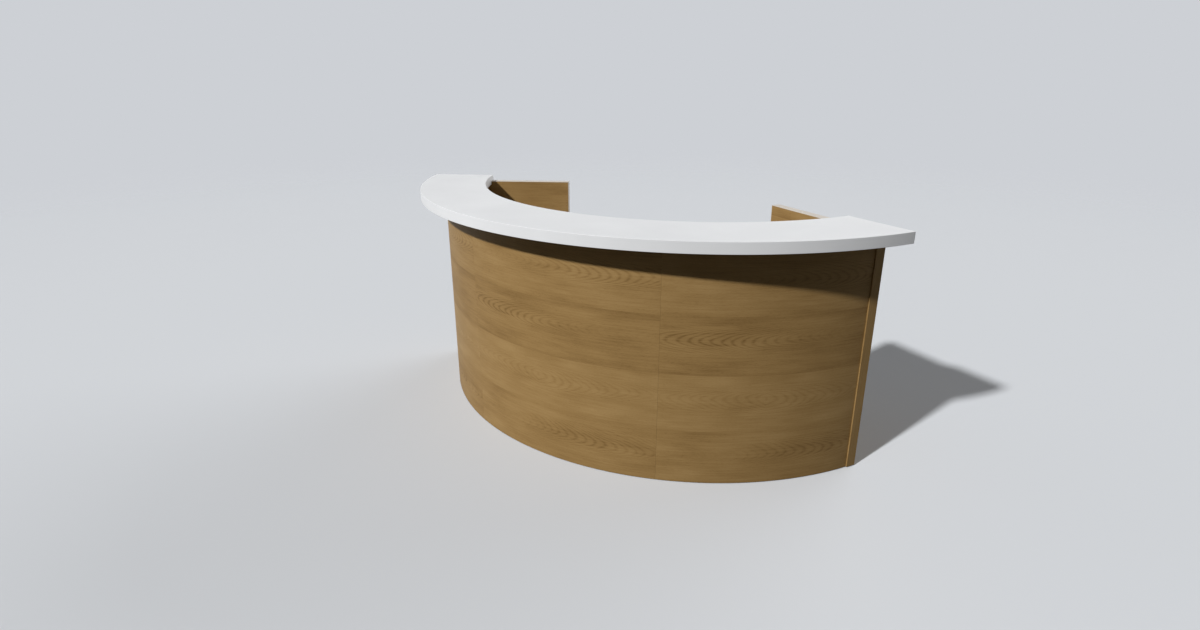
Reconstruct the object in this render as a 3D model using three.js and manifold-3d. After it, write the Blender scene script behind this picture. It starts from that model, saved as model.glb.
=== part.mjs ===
// A curved reception desk with a raised counter, in millimetres with +Z up and the front facing -Y.
// Every curved piece is drawn about one arc centre behind the desk, on the floor.
// Angles are in degrees from the middle of the front, growing towards +X.
// The origin is on the floor, under the middle of the desk's box.

import * as THREE from "three";
import { mergeVertices } from "three/addons/utils/BufferGeometryUtils.js";
import Module from "manifold-3d";

// Heights above the floor
const DESK_HEIGHT = 1150;
const WORK_HEIGHT = 740;
const FLOOR_GAP = 3;

// Clearances: a joint is two pieces touching, a fit is a panel dropped in between others
const JOINT_GAP = 0.3;
const FIT_GAP = 2;
const THREAD_GAP = 0.4;

// Curved front, in three sections that butt at two seams, set by the right seam and the middle section
const FRONT_RADIUS = 1426;
const FRONT_HALF_ANGLE = 60;
const FRONT_THICKNESS = 25;
const RIGHT_SEAM_ANGLE = 22.8;
const MIDDLE_SECTION_LENGTH = 1064;

// End panels, on the two radial lines that end the front, with thin edging on their top and rear edges
const END_THICKNESS = 48;
const END_PROUD = 6;
const END_DEPTH = 695;
const EDGING = 2;

// Counter: a slab with a shallow lipping under its front and rear edges, which makes them look thicker
const COUNTER_OVERHANG = 133;
const COUNTER_DEPTH = 354;
const COUNTER_SLAB = 30;
const LIPPING_DROP = 20;
const FRONT_LIPPING_CLEARANCE = 25;
const REAR_LIPPING_WIDTH = 70;

// Work surface, in two halves that meet over the centre support
const WORK_THICKNESS = 25;
const WORK_SETBACK = 23;
const SUPPORT_THICKNESS = 25;
const SUPPORT_SETBACK = 80;

// Joint plates behind the front's seams, kept clear of the metalwork above and below them
const PLATE_WIDTH = 100;
const PLATE_THICKNESS = 18;
const PLATE_CLEARANCE = 25;

// Folded steel brackets
const STEEL = 4;
const COUNTER_BRACKET_WIDTH = 50;
const COUNTER_BRACKET_DROP = 80;
const COUNTER_BRACKET_END_MARGIN = 147;
const COUNTER_BRACKETS = 4;
const WORK_BRACKET_WIDTH = 60;
const WORK_BRACKET_LEG = 50;
const WORK_BRACKETS = 4;
const CLEAT_LENGTH = 450;
const CLEAT_LEG = 40;
const CORNER_LEG = 40;

// Cable grommets: a ring in the work surface with a cap that turns in it
const GROMMET_HOLE_RADIUS = 40;
const GROMMET_FROM_FRONT = 92;
const RING_FLANGE = 6;
const RING_PROUD = 3;
const RING_WALL = 2.5;
const RING_LEDGE = 4;
const RING_DEPTH = 20;
const CAP_THICKNESS = 4;
const CAP_NOTCH_WIDTH = 22;
const CAP_NOTCH_DEPTH = 17;

// Levelling feet: an angle bracket on the panel, a threaded stem through it and a pad under the stem.
// They are drawn screwed right in, with the stem's collar under the bracket's flange.
const FOOT_BRACKET_WIDTH = 60;
const FOOT_BRACKET_DEPTH = 50;
const FOOT_BRACKET_HEIGHT = 60;
const FOOT_OFFSET = 27;
const FOOT_END_MARGIN = 100;
const BOSS_RADIUS = 10;
const BOSS_HEIGHT = 8;
const STEM_RADIUS = 5;
const STEM_SPARE = 10;
const FOOT_TRAVEL = 20;
const COLLAR_RADIUS = 9;
const COLLAR_HEIGHT = 6;
const STEM_SLOT_WIDTH = 2;
const STEM_SLOT_DEPTH = 2.5;
const PAD_RADIUS = 20;
const PAD_TOP_RADIUS = 13;
const PAD_RIM = 5;
const PAD_HEIGHT = 12;
const PAD_SOLE = 4;

// Facets: the angle of one step along the big arcs, and the sides of small round pieces
const ARC_STEP = 2;
const ROUND_SIDES = 32;
const STEM_SIDES = 16;
const HEX_SIDES = 6;

// Values worked out from the sizes above
const radians = THREE.MathUtils.degToRad;
const degrees = THREE.MathUtils.radToDeg;
const facetShare = Math.cos(radians(ARC_STEP) / 2);
const frontInnerRadius = FRONT_RADIUS - FRONT_THICKNESS;
const frontReach = frontInnerRadius * facetShare - JOINT_GAP;
const leftSeamAngle = RIGHT_SEAM_ANGLE - degrees(MIDDLE_SECTION_LENGTH / FRONT_RADIUS);
const endFront = FRONT_RADIUS + END_PROUD;
const endRear = endFront - END_DEPTH;
const slabUnderside = DESK_HEIGHT - COUNTER_SLAB;
const counterOuter = FRONT_RADIUS + COUNTER_OVERHANG;
const counterInner = counterOuter - COUNTER_DEPTH;
const counterHalfAngle = FRONT_HALF_ANGLE + degrees(Math.asin(END_THICKNESS / counterInner));
const frontLippingInner = endFront + FRONT_LIPPING_CLEARANCE;
const rearLippingOuter = counterInner + REAR_LIPPING_WIDTH;
const workUnderside = WORK_HEIGHT - WORK_THICKNESS;
const workInner = endRear + WORK_SETBACK;
const workOuter = frontReach - FIT_GAP;
const supportRear = workInner + SUPPORT_SETBACK;
const flangeUnderside = PAD_HEIGHT + JOINT_GAP + COLLAR_HEIGHT + JOINT_GAP;
const footTop = flangeUnderside + FOOT_BRACKET_HEIGHT;
const lowPlateBottom = footTop + PLATE_CLEARANCE;
const lowPlateTop = workUnderside - Math.max(WORK_BRACKET_LEG, CLEAT_LEG) - PLATE_CLEARANCE;
const highPlateBottom = WORK_HEIGHT + PLATE_CLEARANCE;
const highPlateTop = slabUnderside - COUNTER_BRACKET_DROP - PLATE_CLEARANCE;

// Colours and finishes
const oak = finish("#967951", 0.5, 0);
const whiteLaminate = finish("#e3e4e5", 0.35, 0);
const paleEdging = finish("#ccc3b8", 0.45, 0);
const plywood = finish("#c3a476", 0.6, 0);
const zincSteel = finish("#b4b8bc", 0.35, 0.9);
const greyPlastic = finish("#4a4d50", 0.5, 0);
const blackPlastic = finish("#1f2021", 0.55, 0);

function finish(color, roughness, metalness) {
  return new THREE.MeshStandardMaterial({ color, roughness, metalness });
}

const desk = new THREE.Group();
const arcCentre = new THREE.Group();
arcCentre.position.y = (counterOuter - rearmostPoint()) / 2;
desk.add(arcCentre);

const wasm = await Module();
wasm.setup();

// The end panel's outer rear corner, or the counter's end where that lies further back
function rearmostPoint() {
  const half = radians(FRONT_HALF_ANGLE);
  const panelCorner = END_THICKNESS * Math.sin(half) - endRear * Math.cos(half);
  const counterCorner = -counterInner * Math.cos(radians(counterHalfAngle));
  return Math.max(panelCorner, counterCorner);
}

// A closed geometry as a solid that can be joined and cut
function solidOf(geometry) {
  const bare = geometry.clone();
  bare.deleteAttribute("normal");
  bare.deleteAttribute("uv");
  const merged = mergeVertices(bare);
  return new wasm.Manifold(
    new wasm.Mesh({
      numProp: 3,
      vertProperties: new Float32Array(merged.attributes.position.array),
      triVerts: new Uint32Array(merged.index.array),
    }),
  );
}

function geometryOf(solid) {
  const mesh = solid.getMesh();
  const geometry = new THREE.BufferGeometry();
  geometry.setAttribute("position", new THREE.BufferAttribute(new Float32Array(mesh.vertProperties), 3));
  geometry.setIndex(new THREE.BufferAttribute(new Uint32Array(mesh.triVerts), 1));
  geometry.computeVertexNormals();
  return geometry;
}

function addPiece(parent, name, geometry, material) {
  const mesh = new THREE.Mesh(geometry, material);
  mesh.name = name;
  parent.add(mesh);
  return mesh;
}

// A frame on the floor at a radius and angle, turned so that its +Y points away from the panel it is fixed to
function placeFrame(radius, angle, turn) {
  const frame = new THREE.Group();
  frame.position.set(radius * Math.sin(radians(angle)), -radius * Math.cos(radians(angle)), 0);
  frame.rotation.z = radians(turn);
  arcCentre.add(frame);
  return frame;
}

// A frame on the front's inner face, far enough in for a flat back of the given width
function frontFrame(angle, width) {
  return placeFrame(flatSeat(width / 2), angle, angle);
}

// A frame on an end panel's inner face at a radius, with the joint gap in front of the face
function endFrame(side, radius) {
  const turn = side * (90 + FRONT_HALF_ANGLE);
  const frame = placeFrame(radius, side * FRONT_HALF_ANGLE, turn);
  frame.translateY(JOINT_GAP);
  return frame;
}

// A frame on the centre support's right face at a radius
function supportFrame(radius) {
  const frame = placeFrame(radius, 0, -90);
  frame.translateY(SUPPORT_THICKNESS / 2 + JOINT_GAP);
  return frame;
}

// How far out a flat face can lie before its far edge meets the front's inner face
function flatSeat(farEdge) {
  return Math.sqrt(frontReach ** 2 - farEdge ** 2);
}

// An upright slice of a ring between two radii and two angles
function sector(inner, outer, fromAngle, toAngle, bottom, height) {
  const from = radians(fromAngle - 90);
  const to = radians(toAngle - 90);
  const shape = new THREE.Shape();
  shape.absarc(0, 0, outer, from, to, false);
  shape.absarc(0, 0, inner, to, from, true);
  const stepsPerHalf = Math.ceil((toAngle - fromAngle) / ARC_STEP / 2);
  const geometry = new THREE.ExtrudeGeometry(shape, {
    depth: height,
    bevelEnabled: false,
    curveSegments: stepsPerHalf,
  });
  return geometry.translate(0, 0, bottom);
}

// The angle that a width takes up at a radius
function angleOf(width, radius) {
  return degrees(width / radius);
}

function box(fromX, toX, fromY, toY, fromZ, toZ) {
  const geometry = new THREE.BoxGeometry(toX - fromX, toY - fromY, toZ - fromZ);
  return geometry.translate((fromX + toX) / 2, (fromY + toY) / 2, (fromZ + toZ) / 2);
}

// An upright cylinder or prism between two heights, centred at a point
function post(radius, sides, x, y, fromZ, toZ) {
  const geometry = new THREE.CylinderGeometry(radius, radius, toZ - fromZ, sides);
  return geometry.rotateX(Math.PI / 2).translate(x, y, (fromZ + toZ) / 2);
}

// A profile of [radius, height] points turned about the upright axis
function turned(profile, sides) {
  const points = profile.map(([radius, height]) => new THREE.Vector2(radius, height));
  return new THREE.LatheGeometry(points, sides).rotateX(Math.PI / 2);
}

// A profile of [y, z] points run along X, centred on x = 0
function alongX(profile, width) {
  const shape = new THREE.Shape(profile.map(([y, z]) => new THREE.Vector2(y, z)));
  const geometry = new THREE.ExtrudeGeometry(shape, { depth: width, bevelEnabled: false });
  const turn = new THREE.Matrix4().makeBasis(
    new THREE.Vector3(0, 1, 0),
    new THREE.Vector3(0, 0, 1),
    new THREE.Vector3(1, 0, 0),
  );
  return geometry.translate(0, 0, -width / 2).applyMatrix4(turn);
}

// A radius whose polygon still clears a round piece of the given radius
function clearRadius(radius, sides) {
  return radius / Math.cos(Math.PI / sides);
}

function buildFront() {
  const end = FRONT_HALF_ANGLE - angleOf(JOINT_GAP, frontInnerRadius);
  const seam = angleOf(JOINT_GAP / 2, frontInnerRadius);
  const section = (name, from, to) => {
    const panel = sector(frontInnerRadius, FRONT_RADIUS, from, to, FLOOR_GAP, slabUnderside - FLOOR_GAP);
    addPiece(arcCentre, name, panel, oak);
  };
  section("front_panel_left", -end, leftSeamAngle - seam);
  section("front_panel_middle", leftSeamAngle + seam, RIGHT_SEAM_ANGLE - seam);
  section("front_panel_right", RIGHT_SEAM_ANGLE + seam, end);
}

// A lower and an upper plate behind a seam, with the work surface passing between them
function buildJointPlates(name, seamAngle) {
  const half = angleOf(PLATE_WIDTH / 2, frontReach);
  const plate = (place, bottom, top) => {
    const back = frontReach - PLATE_THICKNESS;
    const board = sector(back, frontReach, seamAngle - half, seamAngle + half, bottom, top - bottom);
    addPiece(arcCentre, `${name}_${place}`, board, plywood);
  };
  plate("lower", lowPlateBottom, lowPlateTop);
  plate("upper", highPlateBottom, highPlateTop);
}

// An end panel lies behind its frame's face, with the frame's X along the radius
function buildEndPanel(name, side) {
  const turn = side * (90 + FRONT_HALF_ANGLE);
  const frame = placeFrame(0, 0, turn);
  const outward = -side;
  const span = (near, far) => (outward > 0 ? [near, far] : [-far, -near]);
  const [coreFrom, coreTo] = span(endRear + EDGING + JOINT_GAP, endFront);
  const [topFrom, topTo] = span(endRear, endFront);
  const [rearFrom, rearTo] = span(endRear, endRear + EDGING);
  const coreTop = slabUnderside - EDGING;
  const core = box(coreFrom, coreTo, -END_THICKNESS, 0, FLOOR_GAP, coreTop);
  const topEdging = box(topFrom, topTo, -END_THICKNESS, 0, coreTop, slabUnderside);
  const rearEdging = box(rearFrom, rearTo, -END_THICKNESS, 0, FLOOR_GAP, coreTop);
  addPiece(frame, name, core, oak);
  addPiece(frame, name + "_top_edging", topEdging, paleEdging);
  addPiece(frame, name + "_rear_edging", rearEdging, paleEdging);
}

function buildCounter() {
  const half = counterHalfAngle;
  const rearHalf = FRONT_HALF_ANGLE - angleOf(JOINT_GAP, counterInner);
  const lippingBottom = slabUnderside - LIPPING_DROP;
  const slab = sector(counterInner, counterOuter, -half, half, slabUnderside, COUNTER_SLAB);
  const front = sector(frontLippingInner, counterOuter, -half, half, lippingBottom, LIPPING_DROP);
  const rear = sector(counterInner, rearLippingOuter, -rearHalf, rearHalf, lippingBottom, LIPPING_DROP);
  addPiece(arcCentre, "counter_top", slab, whiteLaminate);
  addPiece(arcCentre, "counter_front_lipping", front, whiteLaminate);
  addPiece(arcCentre, "counter_rear_lipping", rear, whiteLaminate);
}

// A folded angle hanging from a height, its top leg reaching out along +Y
function hangingAngle(top, drop, reach) {
  return [
    [0, top],
    [0, top - drop],
    [STEEL, top - drop],
    [STEEL, top - STEEL],
    [reach, top - STEEL],
    [reach, top],
  ];
}

// Counter brackets are angles with a triangular web, stopping short of the rear lipping
function buildCounterBrackets() {
  const endAngle = FRONT_HALF_ANGLE - angleOf(COUNTER_BRACKET_END_MARGIN, frontInnerRadius);
  const step = (2 * endAngle) / (COUNTER_BRACKETS - 1);
  const reach = flatSeat(COUNTER_BRACKET_WIDTH / 2) - rearLippingOuter - PLATE_CLEARANCE;
  const web = [
    [STEEL / 2, slabUnderside - COUNTER_BRACKET_DROP],
    [reach, slabUnderside - STEEL / 2],
    [STEEL / 2, slabUnderside - STEEL / 2],
  ];
  const angle = alongX(hangingAngle(slabUnderside, COUNTER_BRACKET_DROP, reach), COUNTER_BRACKET_WIDTH);
  const bracket = geometryOf(solidOf(angle).add(solidOf(alongX(web, STEEL))));
  for (let i = 0; i < COUNTER_BRACKETS; i++) {
    const frame = frontFrame(-endAngle + i * step, COUNTER_BRACKET_WIDTH);
    addPiece(frame, `counter_bracket_${i + 1}`, bracket, zincSteel);
  }
}

function buildWorkSurface() {
  const end = FRONT_HALF_ANGLE - angleOf(FIT_GAP, workInner);
  const middle = angleOf(JOINT_GAP / 2, workInner);
  const half = (name, side, from, to) => {
    const board = solidOf(sector(workInner, workOuter, from, to, workUnderside, WORK_THICKNESS));
    const [x, y] = grommetPlace(side);
    const below = workUnderside - WORK_THICKNESS;
    const above = WORK_HEIGHT + WORK_THICKNESS;
    const hole = solidOf(post(GROMMET_HOLE_RADIUS, ROUND_SIDES, x, y, below, above));
    addPiece(arcCentre, name, geometryOf(board.subtract(hole)), whiteLaminate);
  };
  half("work_surface_left", -1, -end, -middle);
  half("work_surface_right", 1, middle, end);
}

function buildWorkBrackets() {
  const profile = hangingAngle(workUnderside, WORK_BRACKET_LEG, WORK_BRACKET_LEG);
  const bracket = alongX(profile, WORK_BRACKET_WIDTH);
  const step = (2 * FRONT_HALF_ANGLE) / WORK_BRACKETS;
  for (let i = 0; i < WORK_BRACKETS; i++) {
    const frame = frontFrame((i + 0.5) * step - FRONT_HALF_ANGLE, WORK_BRACKET_WIDTH);
    addPiece(frame, `work_bracket_${i + 1}`, bracket, zincSteel);
  }
}

// Cleats carry the work surface's ends on the end panels
function buildEndCleat(name, side) {
  const cleat = alongX(hangingAngle(workUnderside, CLEAT_LEG, CLEAT_LEG), CLEAT_LENGTH);
  addPiece(endFrame(side, (workInner + workOuter) / 2), name, cleat, zincSteel);
}

// An upright angle in the corner between the front and a panel whose inner face is at the frame's y = 0
function uprightAngle(outward, farEdge) {
  const seat = outward * flatSeat(farEdge);
  const shape = new THREE.Shape([
    new THREE.Vector2(seat, 0),
    new THREE.Vector2(seat - outward * CORNER_LEG, 0),
    new THREE.Vector2(seat - outward * CORNER_LEG, STEEL),
    new THREE.Vector2(seat - outward * STEEL, STEEL),
    new THREE.Vector2(seat - outward * STEEL, CORNER_LEG),
    new THREE.Vector2(seat, CORNER_LEG),
  ]);
  const geometry = new THREE.ExtrudeGeometry(shape, {
    depth: lowPlateTop - lowPlateBottom,
    bevelEnabled: false,
  });
  return geometry.translate(0, 0, lowPlateBottom);
}

function buildCornerAngle(name, side) {
  addPiece(endFrame(side, 0), name, uprightAngle(-side, CORNER_LEG + JOINT_GAP), zincSteel);
}

// The centre support stands between the front and the user, under the joint of the work surface
function buildCentreSupport() {
  const halfWidth = SUPPORT_THICKNESS / 2;
  const panel = box(-halfWidth, halfWidth, -flatSeat(halfWidth), -supportRear, FLOOR_GAP, workUnderside);
  addPiece(arcCentre, "centre_support", panel, oak);
  const angle = uprightAngle(1, halfWidth + JOINT_GAP + CORNER_LEG);
  addPiece(supportFrame(0), "support_angle", angle, zincSteel);
}

function grommetPlace(side) {
  const radius = frontInnerRadius - GROMMET_FROM_FRONT;
  const angle = radians((side * FRONT_HALF_ANGLE) / 2);
  return [radius * Math.sin(angle), -radius * Math.cos(angle)];
}

// The ring hangs in its hole by a flange, and the cap lies on a ledge inside it with its notch to the front
function buildGrommet(suffix, side) {
  const [x, y] = grommetPlace(side);
  const barrel = GROMMET_HOLE_RADIUS * Math.cos(Math.PI / ROUND_SIDES) - JOINT_GAP;
  const seatRadius = barrel - RING_WALL;
  const boreRadius = seatRadius - RING_LEDGE;
  const ringTop = WORK_HEIGHT + RING_PROUD;
  const ledge = ringTop - CAP_THICKNESS - JOINT_GAP;
  const ring = turned(
    [
      [seatRadius, ringTop],
      [seatRadius, ledge],
      [boreRadius, ledge],
      [boreRadius, WORK_HEIGHT - RING_DEPTH],
      [barrel, WORK_HEIGHT - RING_DEPTH],
      [barrel, WORK_HEIGHT],
      [GROMMET_HOLE_RADIUS + RING_FLANGE, WORK_HEIGHT],
      [GROMMET_HOLE_RADIUS + RING_FLANGE, ringTop - RING_PROUD / 2],
      [GROMMET_HOLE_RADIUS + RING_FLANGE - RING_PROUD / 2, ringTop],
      [seatRadius, ringTop],
    ],
    ROUND_SIDES,
  );
  const capRadius = seatRadius * Math.cos(Math.PI / ROUND_SIDES) - JOINT_GAP;
  const disc = post(capRadius, ROUND_SIDES, 0, 0, ringTop - CAP_THICKNESS, ringTop);
  const notch = box(
    -CAP_NOTCH_WIDTH / 2,
    CAP_NOTCH_WIDTH / 2,
    -2 * capRadius,
    CAP_NOTCH_DEPTH - capRadius,
    ringTop - 2 * CAP_THICKNESS,
    ringTop + CAP_THICKNESS,
  );
  const cap = geometryOf(solidOf(disc).subtract(solidOf(notch)));
  const frame = new THREE.Group();
  frame.position.set(x, y, 0);
  arcCentre.add(frame);
  addPiece(frame, "grommet_ring_" + suffix, ring, greyPlastic);
  addPiece(frame, "grommet_cap_" + suffix, cap, greyPlastic);
}

// One levelling foot in a frame whose +Y points away from the panel that the bracket is screwed to
function buildFoot(number, frame) {
  const flangeTop = flangeUnderside + STEEL;
  const bossTop = flangeTop + BOSS_HEIGHT;
  const holeRadius = clearRadius(STEM_RADIUS + THREAD_GAP, STEM_SIDES);
  const angle = alongX(
    [
      [0, flangeUnderside],
      [FOOT_BRACKET_DEPTH, flangeUnderside],
      [FOOT_BRACKET_DEPTH, flangeTop],
      [STEEL, flangeTop],
      [STEEL, footTop],
      [0, footTop],
    ],
    FOOT_BRACKET_WIDTH,
  );
  const boss = post(BOSS_RADIUS, HEX_SIDES, 0, FOOT_OFFSET, flangeTop - STEEL / 2, bossTop);
  const bore = post(holeRadius, STEM_SIDES, 0, FOOT_OFFSET, flangeUnderside - STEEL, bossTop + STEEL);
  const bracket = solidOf(angle).add(solidOf(boss)).subtract(solidOf(bore));
  addPiece(frame, `foot_bracket_${number}`, geometryOf(bracket), zincSteel);

  const foot = new THREE.Group();
  foot.position.y = FOOT_OFFSET;
  frame.add(foot);
  const stemTop = bossTop + FOOT_TRAVEL + STEM_SPARE;
  const shaft = post(STEM_RADIUS, STEM_SIDES, 0, 0, PAD_SOLE + JOINT_GAP, stemTop);
  const collarBottom = PAD_HEIGHT + JOINT_GAP;
  const collar = post(COLLAR_RADIUS, HEX_SIDES, 0, 0, collarBottom, collarBottom + COLLAR_HEIGHT);
  const slot = box(
    -STEM_SLOT_WIDTH / 2,
    STEM_SLOT_WIDTH / 2,
    -2 * STEM_RADIUS,
    2 * STEM_RADIUS,
    stemTop - STEM_SLOT_DEPTH,
    stemTop + STEM_SLOT_DEPTH,
  );
  const stem = solidOf(shaft).add(solidOf(collar)).subtract(solidOf(slot));
  addPiece(foot, `foot_stem_${number}`, geometryOf(stem), zincSteel);

  const socketRadius = clearRadius(STEM_RADIUS + THREAD_GAP, ROUND_SIDES);
  const pad = turned(
    [
      [0, 0],
      [PAD_RADIUS, 0],
      [PAD_RADIUS, PAD_RIM],
      [PAD_TOP_RADIUS, PAD_HEIGHT],
      [socketRadius, PAD_HEIGHT],
      [socketRadius, PAD_SOLE],
      [0, PAD_SOLE],
    ],
    ROUND_SIDES,
  );
  addPiece(foot, `foot_pad_${number}`, pad, blackPlastic);
}

// Two feet on each end panel, one behind each half of the front and two on the centre support
function buildFeet() {
  const nearFront = frontReach - FOOT_END_MARGIN;
  const frames = [
    endFrame(-1, endRear + FOOT_END_MARGIN),
    endFrame(-1, nearFront),
    frontFrame(-FRONT_HALF_ANGLE / 2, FOOT_BRACKET_WIDTH),
    supportFrame(supportRear + FOOT_END_MARGIN),
    supportFrame(nearFront),
    frontFrame(FRONT_HALF_ANGLE / 2, FOOT_BRACKET_WIDTH),
    endFrame(1, nearFront),
    endFrame(1, endRear + FOOT_END_MARGIN),
  ];
  frames.forEach((frame, index) => buildFoot(index + 1, frame));
}

buildFront();
buildJointPlates("joint_plate_left", leftSeamAngle);
buildJointPlates("joint_plate_right", RIGHT_SEAM_ANGLE);
buildEndPanel("end_panel_left", -1);
buildEndPanel("end_panel_right", 1);
buildCounter();
buildCounterBrackets();
buildWorkSurface();
buildWorkBrackets();
buildEndCleat("end_cleat_left", -1);
buildEndCleat("end_cleat_right", 1);
buildCornerAngle("corner_angle_left", -1);
buildCornerAngle("corner_angle_right", 1);
buildCentreSupport();
buildGrommet("left", -1);
buildGrommet("right", 1);
buildFeet();

export default desk;
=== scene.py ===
"""Looks of a curved reception desk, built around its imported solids.

Lengths are in metres, in the frame of the solids: +X to a visitor's right, +Y to the staff side and +Z up.
Angles along the desk are in degrees about the axis of its arcs, from the middle of the front towards +X.
"""

import functools
import math

import bmesh
import bpy
from bpy.props import FloatProperty, FloatVectorProperty, PointerProperty
from mathutils import Matrix, Vector


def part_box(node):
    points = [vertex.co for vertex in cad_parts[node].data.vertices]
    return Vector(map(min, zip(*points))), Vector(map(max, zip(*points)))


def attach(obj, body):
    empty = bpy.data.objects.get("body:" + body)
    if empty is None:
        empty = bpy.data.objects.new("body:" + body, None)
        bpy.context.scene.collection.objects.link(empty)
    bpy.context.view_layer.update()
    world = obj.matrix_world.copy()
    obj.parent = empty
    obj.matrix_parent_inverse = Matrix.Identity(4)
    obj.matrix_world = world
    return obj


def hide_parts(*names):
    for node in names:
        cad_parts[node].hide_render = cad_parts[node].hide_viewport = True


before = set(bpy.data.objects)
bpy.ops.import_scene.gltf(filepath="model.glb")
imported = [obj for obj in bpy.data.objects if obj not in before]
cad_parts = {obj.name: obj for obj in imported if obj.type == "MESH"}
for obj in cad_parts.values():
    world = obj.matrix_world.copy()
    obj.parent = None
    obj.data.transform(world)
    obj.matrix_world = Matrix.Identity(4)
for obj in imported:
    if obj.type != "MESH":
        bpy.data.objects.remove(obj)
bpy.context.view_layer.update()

bl_info = {
    "name": "Curved reception desk",
    "version": (1, 0, 0),
    "blender": (4, 5, 0),
    "location": "3D View > Sidebar > Desk",
    "description": "Builds the boards, metalwork, finishes and stage of a curved reception desk",
    "category": "Object",
}

SIDES = {"left": -1, "right": 1}

# Points that lie closer than this are one
NEAR = 1e-6
# Edges shorter than this are slivers that a cut has left
SLIVER = 20 * NEAR
# Place of a piece that is modelled where it stands
AS_MODELLED = Matrix()
# Turns what points up so that it points along +Y
FACE_OUT = Matrix.Rotation(-math.pi / 2, 4, "X")
# A face faces a way where this share of its normal points there
FACING = 0.9
# Edges that turn by more degrees than this stay sharp in the shading
SHARP_TURN = 50
HEX_SIDES = 6

# Plan of the desk, as its solids have it
FRONT_RADIUS = 1.426
FRONT_THICKNESS = 0.025
FRONT_HALF_ANGLE = 60.0
SECTION_LENGTH = 1.064
RIGHT_SEAM = 22.8
LEFT_SEAM = RIGHT_SEAM - math.degrees(SECTION_LENGTH / FRONT_RADIUS)
END_THICKNESS = 0.048
END_PROUD = 0.006
END_DEPTH = 0.695
END_FRONT = FRONT_RADIUS + END_PROUD
END_REAR = END_FRONT - END_DEPTH
EDGING = 0.002
COUNTER_OVERHANG = 0.133
COUNTER_DEPTH = 0.354
COUNTER_OUTER = FRONT_RADIUS + COUNTER_OVERHANG
COUNTER_INNER = COUNTER_OUTER - COUNTER_DEPTH
COUNTER_HALF_ANGLE = FRONT_HALF_ANGLE + math.degrees(math.asin(END_THICKNESS / COUNTER_INNER))
LIPPING_CLEARANCE = 0.025
LIPPING_WIDTH = 0.070
FRONT_LIPPING_INNER = END_FRONT + LIPPING_CLEARANCE
REAR_LIPPING_OUTER = COUNTER_INNER + LIPPING_WIDTH
WORK_SETBACK = 0.023
WORK_INNER = END_REAR + WORK_SETBACK
SUPPORT_THICKNESS = 0.025
SUPPORT_SETBACK = 0.080
SUPPORT_REAR = WORK_INNER + SUPPORT_SETBACK
JOINT_GAP = 0.0003
FIT_GAP = 0.002

# The solids' arcs have flat facets of two degrees, so what stands behind the front is seated on those
FACET_TURN = 2.0
FRONT_INNER = FRONT_RADIUS - FRONT_THICKNESS
FRONT_REACH = FRONT_INNER * math.cos(math.radians(FACET_TURN / 2)) - JOINT_GAP
WORK_OUTER = FRONT_REACH - FIT_GAP
ARC_CENTRE = Vector((0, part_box("counter_top")[0].y + COUNTER_OUTER, 0))

# Joint plates
PLATE_WIDTH = 0.100
PLATE_THICKNESS = 0.018
PLATE_MARGIN = 0.030
PLATE_SCREW_SPACING = 0.170

# Folded steel
STEEL = 0.004
BEND_STEPS = 6
COUNTER_BRACKETS = 4
COUNTER_BRACKET_WIDTH = 0.050
COUNTER_BRACKET_DROP = 0.080
COUNTER_BRACKET_INSET = 0.147
COUNTER_BRACKET_CLEARANCE = 0.025
WEB_INSET = 0.004
WORK_BRACKETS = 4
WORK_BRACKET_WIDTH = 0.060
WORK_BRACKET_LEG = 0.050
CLEAT_LENGTH = 0.450
ANGLE_LEG = 0.040
# Screws of each angle: their places along it, how far out they are on its level leg,
# and how far up they are on its other leg
SCREWS = {
    "counter_bracket": ((-0.014, 0.014), (0.030, 0.072), (0.026, 0.062)),
    "work_bracket": ((-0.018, 0.018), (0.030,), (0.030,)),
    "end_cleat": ((-0.195, -0.065, 0.065, 0.195), (0.024,), (0.024,)),
    "corner_angle": ((-0.210, -0.070, 0.070, 0.210), (0.024,), (0.024,)),
    "foot_bracket": ((-0.019, 0.019), (), (0.028, 0.048)),
}
# Pan head of a screw: its height and its cross recess, as shares of its radius
HEAD_HEIGHT = 0.62
RECESS_ARM = 0.5
RECESS_SLOT = 0.14
RECESS_DEPTH = 0.3
# Its shoulders from the flat top down to the seat, as shares of its radius and of its height
HEAD_SHOULDERS = ((0.68, 1.0), (0.86, 0.88), (0.97, 0.6), (1.0, 0.0))

# Levelling feet
FOOT_WIDTH = 0.060
FOOT_DEPTH = 0.050
FOOT_OFFSET = 0.027
FOOT_MARGIN = 0.100
NUT_RADIUS = 0.010
NUT_HEIGHT = 0.008
BORE_RADIUS = 0.0055
BORE_STEPS = 32
STEM_RADIUS = 0.005
THREAD_PITCH = 0.0015
THREAD_DEPTH = 0.0009
THREAD_STEPS = 16
# Turns of the thread below the place where it is cut off
THREAD_RUN_IN = 1.5
# How far the parts of a stem run into each other
STEM_OVERLAP = 0.0005
COLLAR_RADIUS = 0.009
COLLAR_HEIGHT = 0.006
SLOT_WIDTH = 0.002
SLOT_DEPTH = 0.0025
PAD_RADIUS = 0.020
PAD_TOP_RADIUS = 0.013
PAD_RIM = 0.005
PAD_SOLE = 0.004
PAD_STEPS = 32

# Grommets
HOLE_RADIUS = 0.040
HOLE_FROM_FRONT = 0.092
RING_FLATS = 32
RING_FLANGE = 0.006
RING_RADIUS = HOLE_RADIUS + RING_FLANGE
RING_WALL = 0.0025
RING_LEDGE = 0.004
CAP_THICKNESS = 0.004
NOTCH_WIDTH = 0.022
NOTCH_DEPTH = 0.017
NOTCH_CORNER = 0.004
CAP_RIM = 0.0025
CAP_TRAY_SLOPE = 0.0006
CAP_TRAY_DEPTH = 0.0005
ROUND_STEPS = 64

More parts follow.
